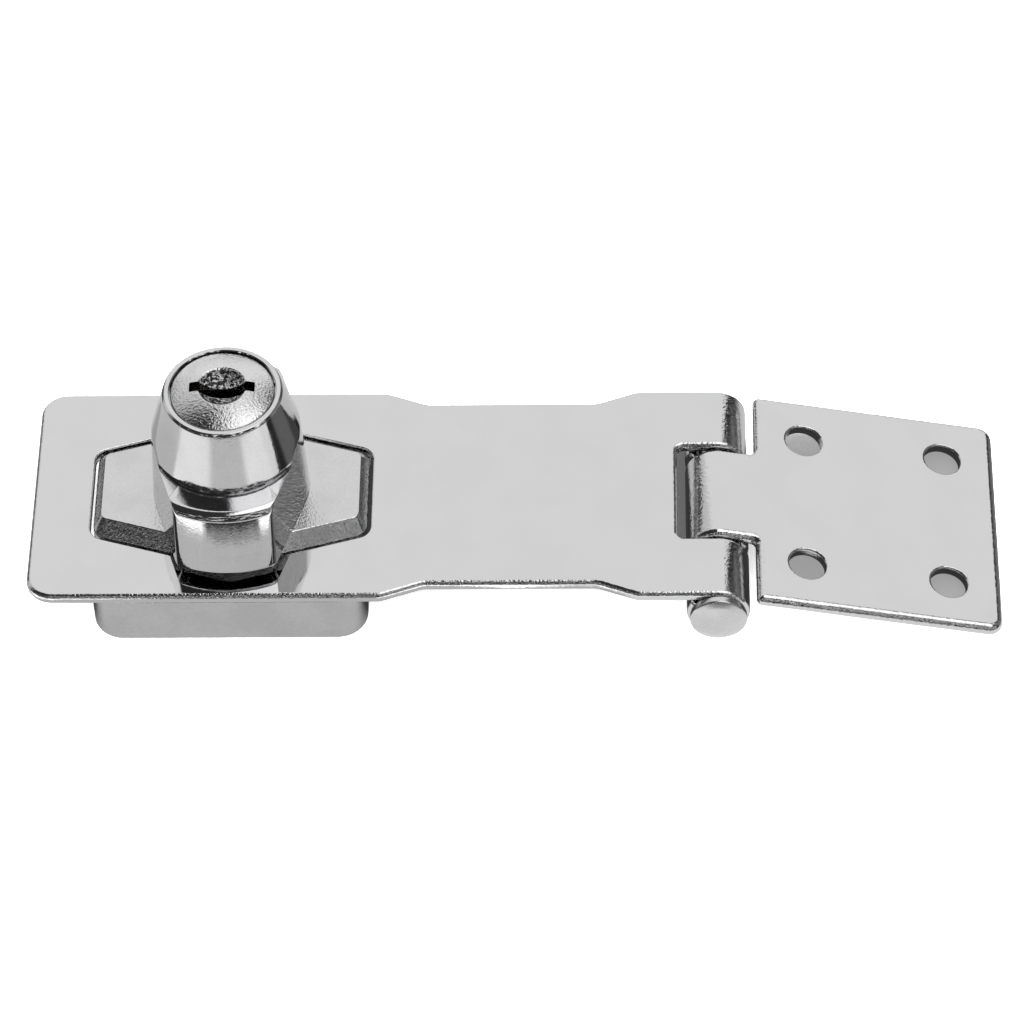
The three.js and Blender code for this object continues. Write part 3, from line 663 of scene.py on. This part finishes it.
def make_base():
    shell = Shell()
    block = rectangle(BASE_HALF_X, BASE_HALF_Y, BASE_CORNER)
    shell.stack([at_height(outline(block, inset, 16)[0], z)
                 for inset, z in ease_levels(0, BASE_TOP, BASE_EASE, BASE_EASE)])
    base = shell.finish("lock_base_casting")
    # Boss: upright wall, 45 degree chamfer and flat top, with small fillets between them.
    profile = rounded([
        (WINDOW_PLAY, BASE_RECESS + 1), (WINDOW_PLAY, BOSS_TOP - BOSS_CHAMFER),
        (WINDOW_PLAY + BOSS_CHAMFER, BOSS_TOP), (WINDOW_PLAY + BOSS_CHAMFER + 2, BOSS_TOP),
    ], {1: BOSS_FILLET, 2: BOSS_FILLET}, 5)[:-1]
    rings = []
    for inset, z in profile:
        share = max(0.0, min(1.0, (inset - WINDOW_PLAY) / BOSS_CHAMFER))
        end_inset = WINDOW_PLAY + share * BOSS_END_CHAMFER
        rings.append(at_height(outline(hexagon(inset, WINDOW_CORNER - share, end_inset))[0], z))
    boss_shell = Shell()
    boss_shell.stack(rings)
    base = boolean(base, "UNION", [boss_shell.finish("boss")])
    # Hollow underside, less the hub around the stem and the posts for the four screws.
    inside = rectangle(BASE_HALF_X - BASE_WALL, BASE_HALF_Y - BASE_WALL, BASE_CORNER - BASE_WALL)
    screws = [(i * BASE_SCREW[0], j * BASE_SCREW[1]) for i in (-1, 1) for j in (-1, 1)]
    hollow = boolean(
        prism_tool(outline(inside, 0, 8)[0], (-1, BASE_RECESS)), "DIFFERENCE",
        [prism_tool(circle(HUB_R + HUB_WALL, 96), (-2, BASE_RECESS + 1))]
        + [prism_tool(circle(BASE_POST_R, 48, c), (-2, BASE_RECESS + 1)) for c in screws])
    # The hub's chamber, with the two lugs that stop the knob.
    chamber = boolean(
        prism_tool(circle(HUB_R, 96), (-1, BASE_RECESS)), "DIFFERENCE",
        [prism_tool(sector_points(HUB_R - 2, HUB_R + 1, a, a + LUG_DEGREES), (0.6, BASE_RECESS + 1))
         for a in LUG_STARTS])
    # Two pockets for the thrown bolt, a quarter turn apart.
    reach = BOLT_NOSE + BOLT_STROKE + 0.4
    half = BOLT_HALF + 0.2
    top = BOLT_HIGH + 0.15
    cuts = [
        hollow, chamber,
        prism_tool(circle(STEM_R + 0.05, 128), (BASE_RECESS - 1, BOSS_TOP + 1)),
        box_tool((0, reach), (-half, half), (BASE_RECESS - 1, top)),
        box_tool((-half, half), (0, reach), (BASE_RECESS - 1, top)),
    ]
    for x, y in screws:
        cuts.append(tool([at_height(circle(r, 48, (x, y)), z) for r, z in (
            (BASE_SCREW_R, -1), (BASE_SCREW_R, BASE_TOP - 2),
            (BASE_SCREW_HEAD_R, BASE_TOP - 0.2), (BASE_SCREW_HEAD_R, BASE_TOP + 1))]))
    base = shade(boolean(base, "DIFFERENCE", cuts))
    mount(base, "lock_base", "base_chrome", (BASE_CHROME,), "lock_base")


# ---------------------------------------------------------------- the turn knob
def flank_radius(z):
    t = (z - KNOB_UNDER) / (LEDGE_Z - KNOB_UNDER)
    return FLANK_R[0] + (FLANK_R[1] - FLANK_R[0]) * t


def knob_quarter(end, z):
    """A quarter of the knob's plan at one height: round side, flat flank, rounded corner, round end."""
    side = flank_radius(z)
    r = WING_CORNER
    along = math.sqrt((end - r) ** 2 - (side - r) ** 2)
    cx = (side - r) * math.cos(FLANK) - along * math.sin(FLANK)
    cy = (side - r) * math.sin(FLANK) + along * math.cos(FLANK)
    end_angle = math.atan2(cy, cx)
    pts = arc((0, 0), side, 0, math.degrees(FLANK), 10)
    start = pts[-1]
    touch = (cx + r * math.cos(FLANK), cy + r * math.sin(FLANK))
    for k in range(1, 24):
        pts.append((start[0] + (touch[0] - start[0]) * k / 24, start[1] + (touch[1] - start[1]) * k / 24))
    pts += arc((cx, cy), r, math.degrees(FLANK), math.degrees(end_angle), 12)
    pts += arc((0, 0), end, math.degrees(end_angle), 90, 24)[1:]
    return pts


def whole_ring(quarter):
    half = quarter + [(-x, y) for x, y in reversed(quarter[:-1])]
    return half + [(x, -y) for x, y in reversed(half[1:-1])]


def make_knob():
    # Outside of the wings, from the underside to the ledge. The first and last points only steer the
    # rounding of their neighbours.
    wing = rounded([(12.0, KNOB_UNDER)] + WING_ENDS + [(11.5, LEDGE_Z)],
                   {1: 0.3, 2: 18, 3: 18, 4: 3, 5: 1.3}, 8)[1:-1]
    rings = []
    for r, z in wing:
        level = min(z, LEDGE_Z)
        rings.append(at_height(whole_ring(knob_quarter(r, level)), z))
    # The flanks keep their full width at the ledge's height, where the ends draw in.
    angles = [math.atan2(y, x) for x, y, _ in rings[-1]]

    def folded(a):
        """An angle's distance from the nearest side of the knob."""
        return abs((a + math.pi / 2) % math.pi - math.pi / 2)

    def cut_circle(r, z):
        """A circle cut off by the flanks, with the two run together softly where they meet."""
        side = flank_radius(z)
        ring = []
        for a in angles:
            flank = side / math.cos(max(folded(a) - FLANK, 0))
            h = max(FLANK_BLEND - abs(flank - r), 0) / FLANK_BLEND
            limit = min(flank, r) - h * h * FLANK_BLEND / 4
            ring.append((limit * math.cos(a), limit * math.sin(a), z))
        return ring

    def neck_at(a):
        """How far the neck is drawn in below the lip: only over the ledge, not at the flanks."""
        start, end = NECK_FADE
        t = max(0.0, min(1.0, (math.degrees(folded(a)) - start) / (end - start)))
        return LIP_R - (LIP_R - NECK_R) * t

    def head_ring(drop, z):
        """The head's outline by the lip, drawn in to the neck by drop, from 0 to 1."""
        out = []
        for a, (x, y, _) in zip(angles, cut_circle(LIP_R, z)):
            r = math.hypot(x, y)
            limit = min(r, LIP_R - (LIP_R - neck_at(a)) * drop)
            out.append((limit * math.cos(a), limit * math.sin(a), z))
        return out

    rings.append(head_ring(1.0, LEDGE_Z))
    for k in range(1, 5):
        t = k / 4
        rings.append(head_ring(1.0 - 0.15 * t, LEDGE_Z + 0.35 * t))
    for k in range(1, 7):
        t = k / 6
        rings.append(head_ring(0.85 * (1 - math.sin(t * math.pi / 2)), LEDGE_Z + 0.35 + 0.25 * t))
    cone = rounded([
        (LIP_R - 0.05, LIP_Z - 0.02), (LIP_R, LIP_Z + 0.1), (CONE_TOP_R, KNOB_TOP - 0.3), (RIM_R, KNOB_TOP),
        (BORE_R + 0.12, KNOB_TOP), (BORE_R, KNOB_TOP - 0.15), (BORE_R, BORE_SEAT),
    ], {1: 0.12, 2: 0.3, 3: 0.2, 4: 0.08}, 8)
    lip = [p for p in cone if p[1] < LIP_Z + 2]
    for r, z in lip:
        rings.append(cut_circle(r, z))
    # The cone's side, in rings that are closest together by the lip, where the flanks cut into it.
    start = cone[len(lip) - 1]
    end = cone[len(lip)]
    fine = 26
    for k in range(1, fine):
        t = (k / fine) ** 1.6
        r = start[0] + (end[0] - start[0]) * t
        z = start[1] + (end[1] - start[1]) * t
        rings.append(cut_circle(r, z))
    for r, z in cone[len(lip):] + BORE_STEPS:
        rings.append(ring_at(r, z, angles))
    # The underside runs in to the stem, and the stem down to its end, to close the skin.
    groove_low, groove_high = CLIP_GROOVE
    under = []
    for r, z in ((STEM_R + 0.4, KNOB_UNDER), (STEM_R, KNOB_UNDER - 0.05), (STEM_R, groove_high),
                 (CLIP_GROOVE_R, groove_high), (CLIP_GROOVE_R, groove_low), (STEM_R, groove_low),
                 (STEM_R, STEM_END + 0.3), (STEM_R - 0.3, STEM_END)):
        under.append(ring_at(r, z, angles))
    shell = Shell()
    shell.stack(list(reversed(under)) + rings)
    knob = shell.finish("turn_knob_casting")
    # Flats on the stem, grooves for the wafers in both places of the plug, and the bolt's hole.
    across = (-STEM_REACH, STEM_REACH)
    groove = (-WAFER_GROOVE["half"], WAFER_GROOVE["half"])
    groove_reach = (-WAFER_GROOVE["reach"], WAFER_GROOVE["reach"])
    cuts = [
        box_tool(across, (STEM_FLAT, STEM_REACH), (0, STEM_FLAT_TOP)),
        box_tool(across, (-STEM_REACH, -STEM_FLAT), (0, STEM_FLAT_TOP)),
        box_tool(groove_reach, groove, WAFER_GROOVE["z"]),
        box_tool(groove, groove_reach, WAFER_GROOVE["z"]),
        box_tool((BOLT_HOLE["back"], STEM_REACH), (-BOLT_HOLE["half"], BOLT_HOLE["half"]), BOLT_HOLE["z"]),
    ]
    knob = shade(boolean(knob, "DIFFERENCE", cuts), 38)
    mount(knob, "turn_knob", "knob_chrome", (KNOB_CHROME,), "turn_knob")


# ---------------------------------------------------------------- the lock plug
def make_plug():
    dish_radius = (DISH_R ** 2 + DISH_DEPTH ** 2) / (2 * DISH_DEPTH)
    clip_low, clip_high = PLUG_CLIP
    body = [
        (NEAR_AXIS, PLUG_END), (PLUG_TAIL_R, PLUG_END), (PLUG_TAIL_R, PLUG_STEP), (PLUG_BODY_R, PLUG_STEP),
        (PLUG_BODY_R, clip_low), (PLUG_CLIP_R, clip_low), (PLUG_CLIP_R, clip_high),
        (PLUG_BODY_R, clip_high), (PLUG_BODY_R, PLUG_SEAT), (PLUG_HEAD_R, PLUG_SEAT),
        (PLUG_HEAD_R, dome(PLUG_HEAD_R)),
    ]
    face = []
    for k in range(25):
        r = PLUG_HEAD_R - 0.05 - (PLUG_HEAD_R - DISH_R - 0.05) * k / 24
        face.append((r, dome(r)))
    bowl = []
    for k in range(14, 0, -1):
        r = DISH_R * k / 14
        bowl.append((r, DISH_FLOOR + dish_radius - math.sqrt(dish_radius ** 2 - r ** 2)))
    profile = rounded(body + [(PLUG_HEAD_R - 0.45, dome(PLUG_HEAD_R - 0.45))], {10: 0.3})
    profile = profile[:-1] + [p for p in face if p[0] < PLUG_HEAD_R - 0.5]
    dish_edge = rounded([profile[-2], (DISH_R, dome(DISH_R)), bowl[1]], {1: 0.12})[1:-1]
    profile = profile[:-1] + dish_edge + bowl[1:]
    profile.append((NEAR_AXIS, DISH_FLOOR))
    shell = Shell()
    shell.stack(lathe(profile, 144))
    plug = shell.finish("lock_plug_barrel")
    slot_shape = rectangle(KEYWAY[0] / 2, KEYWAY[1] / 2, KEYWAY_CORNER)
    cuts = [prism_tool(outline(slot_shape, 0, 4)[0], (WAFER_GROOVE["z"][0], KNOB_TOP + 3))]
    # A slot for each wafer, with a pocket beside it for the wafer's spring.
    for i in range(WAFERS):
        z = WAFER_FIRST + WAFER_PITCH * i
        cuts.append(box_tool((-6.5, 6.5), (-3.06, 3.06), (z - 0.46, z + 0.46)))
        cuts.append(box_tool((-2.9, 2.2), (0, 4.15), (z - 0.54, z + 0.54)))
    plug = boolean(plug, "DIFFERENCE", cuts)
    angle = math.radians(STUD["degrees"])
    centre = (STUD["orbit"] * math.cos(angle), STUD["orbit"] * math.sin(angle))
    stud = prism_tool(circle(STUD["r"], 32, centre), STUD["z"])
    plug = shade(boolean(plug, "UNION", [stud]))
    mount(plug, "lock_plug", "plug_chrome", (PLUG_CHROME,), "lock_plug")


make_leaf()
make_fixed_leaf()
make_pin()
make_base()
make_knob()
make_plug()

# The small parts inside the lock keep their CAD shape and get eased edges and a finish.
INNER = {
    "spring_washer": SPRING_STEEL, "stop_washer": ZINC_STEEL, "stem_clip": SPRING_STEEL,
    "locking_bolt": ZINC_STEEL, "plug_clip": SPRING_STEEL,
}
for number in range(1, WAFERS + 1):
    INNER[f"wafer_{number}"] = SHADED_WAFER_BRASS
    INNER[f"wafer_spring_{number}"] = SPRING_STEEL
for node_name, finish in INNER.items():
    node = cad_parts[node_name]
    node.data.materials.clear()
    node.data.materials.append(finish)
    node.data.shade_smooth()
    ease = node.modifiers.new("ease", "BEVEL")
    ease.width = INNER_EASE * MM
    ease.segments = 2
    ease.limit_method = "ANGLE"
    ease.angle_limit = math.radians(40)
    normals = node.modifiers.new("normals", "WEIGHTED_NORMAL")
    normals.keep_sharp = True


# ---------------------------------------------------------------- studio
ROOM_LEVEL = 0.3
SPOT_LEVEL = 1.3
SPOT_SCALE = 9
TABLE_LEVEL = 0.68
TABLE_HALF = 6.0
CARDS_DROP = 0.0002
RIPPLE_SCALE = 300
RIPPLE_DEGREES = 12
RIPPLE_REACH = 0.004
FLOOR_TONE = 0.9
FLOOR_GLOW = 0.55
SHADE_REACH = 0.012
LAMP_PLACE = Vector((0.04, -0.1, 1.2))
LAMP_AIM = Vector((0.04, 0, 0))
LAMP_SIZE = 2.4
LAMP_POWER = 150.0


def emission(name, build):
    """A glowing white material whose strength is worked out by build."""
    material = bpy.data.materials.new(name)
    material.use_nodes = True
    n = Nodes(material.node_tree)
    strength = build(n)
    shader = n.add("ShaderNodeEmission", {"Color": (1, 1, 1, 1), "Strength": strength})
    n.add("ShaderNodeOutputMaterial", {"Surface": shader.outputs[0]})
    return material


def soft_band(n, value, low, high, soft):
    """1 between low and high, fading to 0 over soft on each side."""
    rise = n.ramp(value, low - soft, low + soft)
    fall = n.ramp(value, high - soft, high + soft, 1.0, 0.0)
    return n.math("MULTIPLY", rise, fall)


def patch(n, base, level, *masks):
    """base, with level laid over it where every mask is 1."""
    mask = masks[0]
    for m in masks[1:]:
        mask = n.math("MULTIPLY", mask, m)
    mixed = n.add("ShaderNodeMix", {"Factor": mask, "A": base, "B": level}, data_type="FLOAT")
    return mixed.outputs["Result"]


def surround(n):
    """Brightness of the studio by direction. Walls go by azimuth, from straight behind the object towards
    its right, and elevation. Ceiling cards go by how far they are to the right and behind, in ceiling
    heights."""
    where = n.add("ShaderNodeTexCoord").outputs["Generated"]
    x, y, z = n.add("ShaderNodeSeparateXYZ", {"Vector": where}).outputs
    elevation = n.math("MULTIPLY", n.math("ARCSINE", z), 180 / math.pi)
    azimuth = n.math("MULTIPLY", n.math("ARCTAN2", x, y), 180 / math.pi)
    level = ROOM_LEVEL
    for az, el, soft, value in STUDIO_PANELS:
        level = patch(n, level, value, soft_band(n, azimuth, *az, soft), soft_band(n, elevation, *el, soft))
    # In front the room is dark, with small lights that a rough surface scatters into sparkle.
    in_front = n.ramp(n.math("MULTIPLY", y, -1.0), 0.15, 0.3)
    spots = n.noise(where, SPOT_SCALE, 2.0)
    level = patch(n, level, SPOT_LEVEL, n.ramp(spots, 0.58, 0.63), in_front)
    level = patch(n, level, SPOT_LEVEL, n.ramp(spots, 0.53, 0.58), in_front, n.ramp(x, 0.1, 0.25))
    height = n.math("MAXIMUM", z, 0.05)
    across = n.math("DIVIDE", x, height)
    behind = n.math("DIVIDE", y, height)
    for u, v, soft, value in CEILING_CARDS:
        level = patch(n, level, value, soft_band(n, across, *u, soft), soft_band(n, behind, *v, soft))
    return level


# Panels of the surround: azimuth from and to, elevation from and to, softness in degrees, brightness.
STUDIO_PANELS = [
    ((-200, -90), (-5, 78), 5, 0.04),
    ((90, 200), (-5, 78), 5, 0.04),
    ((-80, -31), (-30, 62), 3, 0.75),
    ((-62, -41), (4, 27), 2, 0.08),
    ((33, 90), (-30, 58), 2, 0.1),
    ((43, 60), (12, 22), 2, 0.25),
    ((33, 43), (-30, 58), 1.5, 0.02),
    ((62, 90), (-30, 58), 3, 0.24),
    ((33, 60), (45, 66), 3, 0.5),
    ((-34, 33), (-20, 84), 2, 1.03),
]
# Cards on the ceiling: right from and to, behind from and to, softness, brightness.
CEILING_CARDS = [
    ((-1.6, 0.0), (-0.9, 0.34), 0.05, 0.04),
    ((0.0, 0.75), (-0.42, 0.36), 0.04, 1.8),
]

world = bpy.data.worlds.new("studio")
bpy.context.scene.world = world
world.use_nodes = True
wn = Nodes(world.node_tree)
background = wn.add("ShaderNodeBackground", {"Color": (1, 1, 1, 1), "Strength": surround(wn)})
wn.add("ShaderNodeOutputWorld", {"Surface": background.outputs[0]})


def table_sheet(name, z, material):
    mesh = bpy.data.meshes.new(name)
    half = TABLE_HALF
    corners = [(-half, -half, z), (half, -half, z), (half, half, z), (-half, half, z)]
    mesh.from_pydata(corners, [], [(0, 1, 2, 3)])
    mesh.materials.append(material)
    obj = bpy.data.objects.new(name, mesh)
    bpy.context.scene.collection.objects.link(obj)
    return obj


def table_light(n):
    """What the polished parts see of the table: pale near them and dark far off, with bright cards at both
    sides, a dark strip in front, and the shade under the leaves. A ripple breaks up the cards' edges."""
    where = n.add("ShaderNodeTexCoord").outputs["Object"]
    ripple = n.math("SUBTRACT", n.noise(where, RIPPLE_SCALE, 4.0, 0.65), 0.5)
    x, y, _ = n.add("ShaderNodeSeparateXYZ", {"Vector": where}).outputs
    away = n.math("SUBTRACT", 0.0, y)
    azimuth = n.math("MULTIPLY", n.math("ARCTAN2", x, away), 180 / math.pi)
    azimuth = n.math("ADD", azimuth, n.math("MULTIPLY", ripple, RIPPLE_DEGREES))
    radius = n.math("SQRT", n.math("ADD", n.math("POWER", x, 2.0), n.math("POWER", y, 2.0)))
    radius = n.math("ADD", radius, n.math("MULTIPLY", ripple, RIPPLE_REACH))
    level = TABLE_LEVEL
    for az, distance, soft, value in TABLE_CARDS:
        around = soft_band(n, azimuth, *az, soft[0])
        level = patch(n, level, value, around, soft_band(n, radius, *distance, soft[1]))
    for xs, ys, soft, value in TABLE_SHADE:
        level = patch(n, level, value, soft_band(n, x, *xs, soft), soft_band(n, y, *ys, soft))
    return level


# Cards on the table: azimuth from straight in front, distance in metres, softness of each, brightness.
TABLE_CARDS = [
    ((-180, 180), (0.062, 9), (2, 0.004), 0.74),
    ((-180, 180), (0.108, 9), (2, 0.006), 0.08),
    ((50, 84), (0.052, 0.11), (2, 0.001), 1.0),
    ((84, 180), (0.1, 9), (2, 0.002), 0.28),
    ((-19, 27), (0.0425, 0.062), (1.5, 0.0006), 0.04),
    ((-19, 27), (0.0412, 0.0425), (1.5, 0.0003), 0.4),
    ((-19, 27), (0.0403, 0.0410), (1.5, 0.0003), 0.1),
]
for side in ((-68, -19), (27, 60)):
    TABLE_CARDS += [
        (side, (0.0412, 0.0508), (2, 0.0008), 2.3),
        (side, (0.0508, 0.064), (2, 0.0008), 1.15),
        (side, (0.064, 0.1), (5, 0.004), 1.15),
    ]
# Shade under the object: x from and to, y from and to, softness, brightness, in metres.
TABLE_SHADE = [
    ((-0.023, 0.0985), (-0.0145, 0.0165), 0.003, 0.05),
]

# Shade on the floor that shows through the two rows of screw holes and the notch: x from and to, y from and
# to, softness, in metres, then base colour, glow, and how open to the room the floor may be there.
FLOOR_SHADE = [
    ((0.0705, 0.0782), (-0.0116, 0.0185), 0.0008, 0.02, 0.33, 0.72),
    ((0.0888, 0.0967), (-0.0116, 0.0170), 0.0008, 0.02, 0.33, 0.93),
    ((0.0555, 0.0622), (-0.008, 0.0160), 0.0012, 0.01, 0.13, 0.6),
]

# Two tables in one place: the camera sees the plain pale one, reflections see the one with cards.
floor_material = bpy.data.materials.new("pale_floor")
floor_material.use_nodes = True
fn = Nodes(floor_material.node_tree)
floor_where = fn.add("ShaderNodeTexCoord").outputs["Object"]
floor_x, floor_y, _ = fn.add("ShaderNodeSeparateXYZ", {"Vector": floor_where}).outputs
openness = fn.add("ShaderNodeAmbientOcclusion", {"Distance": SHADE_REACH}, samples=8).outputs["AO"]
floor_tone = FLOOR_TONE
floor_glow = FLOOR_GLOW
for xs, ys, soft, tone, glow, limit in FLOOR_SHADE:
    covered = fn.ramp(openness, limit, limit + 0.1, 1.0, 0.0)
    inside = (soft_band(fn, floor_x, *xs, soft), soft_band(fn, floor_y, *ys, soft), covered)
    floor_tone = patch(fn, floor_tone, tone, *inside)
    floor_glow = patch(fn, floor_glow, glow, *inside)
floor_shader = fn.add("ShaderNodeBsdfPrincipled", {
    "Base Color": floor_tone, "Roughness": fn.ramp(fn.noise(floor_where, 400, 3.0), 0.3, 0.7, 0.85, 0.95),
    "Specular IOR Level": 0.0, "Emission Color": (1, 1, 1, 1), "Emission Strength": floor_glow})
fn.add("ShaderNodeOutputMaterial", {"Surface": floor_shader.outputs[0]})
floor = table_sheet("floor", 0.0, floor_material)
floor.visible_glossy = False
floor.visible_shadow = False

cards = table_sheet("table_cards", -CARDS_DROP, emission("table_cards", table_light))
cards.visible_camera = False
cards.visible_diffuse = False
cards.visible_shadow = False

# One soft lamp lights the floor. The metal doesn't see it.
light = bpy.data.lights.new("overhead", "AREA")
light.size = LAMP_SIZE
light.energy = LAMP_POWER
light.specular_factor = 0.0
lamp = bpy.data.objects.new("overhead", light)
bpy.context.scene.collection.objects.link(lamp)
lamp.location = LAMP_PLACE
lamp.rotation_euler = (LAMP_AIM - LAMP_PLACE).to_track_quat("-Z", "Y").to_euler()
lamp.visible_glossy = False
lamp.visible_camera = False

# ---------------------------------------------------------------- camera
CAMERA_LENS = 177.86
CAMERA_DISTANCE = 0.6657
CAMERA_TARGET = Vector((36.60, 0.05, 5.0)) * MM
# Degrees down from level, to the right, and of roll.
CAMERA_ANGLES = (49.79, -2.11, -1.91)

camera_data = bpy.data.cameras.new("camera")
camera_data.sensor_width = 36
camera_data.lens = CAMERA_LENS
camera_data.clip_start = 0.05
camera_data.clip_end = 50
camera = bpy.data.objects.new("camera", camera_data)
bpy.context.scene.collection.objects.link(camera)
pitch, yaw, roll = [math.radians(a) for a in CAMERA_ANGLES]
forward = Vector((math.sin(yaw) * math.cos(pitch), math.cos(yaw) * math.cos(pitch), -math.sin(pitch)))
level_right = Vector((math.cos(yaw), -math.sin(yaw), 0))
level_up = level_right.cross(forward)
right = level_right * math.cos(roll) + level_up * math.sin(roll)
up = level_up * math.cos(roll) - level_right * math.sin(roll)
turn = Matrix((right, up, -forward)).transposed().to_4x4()
camera.matrix_world = Matrix.Translation(CAMERA_TARGET - forward * CAMERA_DISTANCE) @ turn
bpy.context.scene.camera = camera

bpy.context.scene.view_settings.view_transform = "Standard"
bpy.context.scene.view_settings.look = "None"
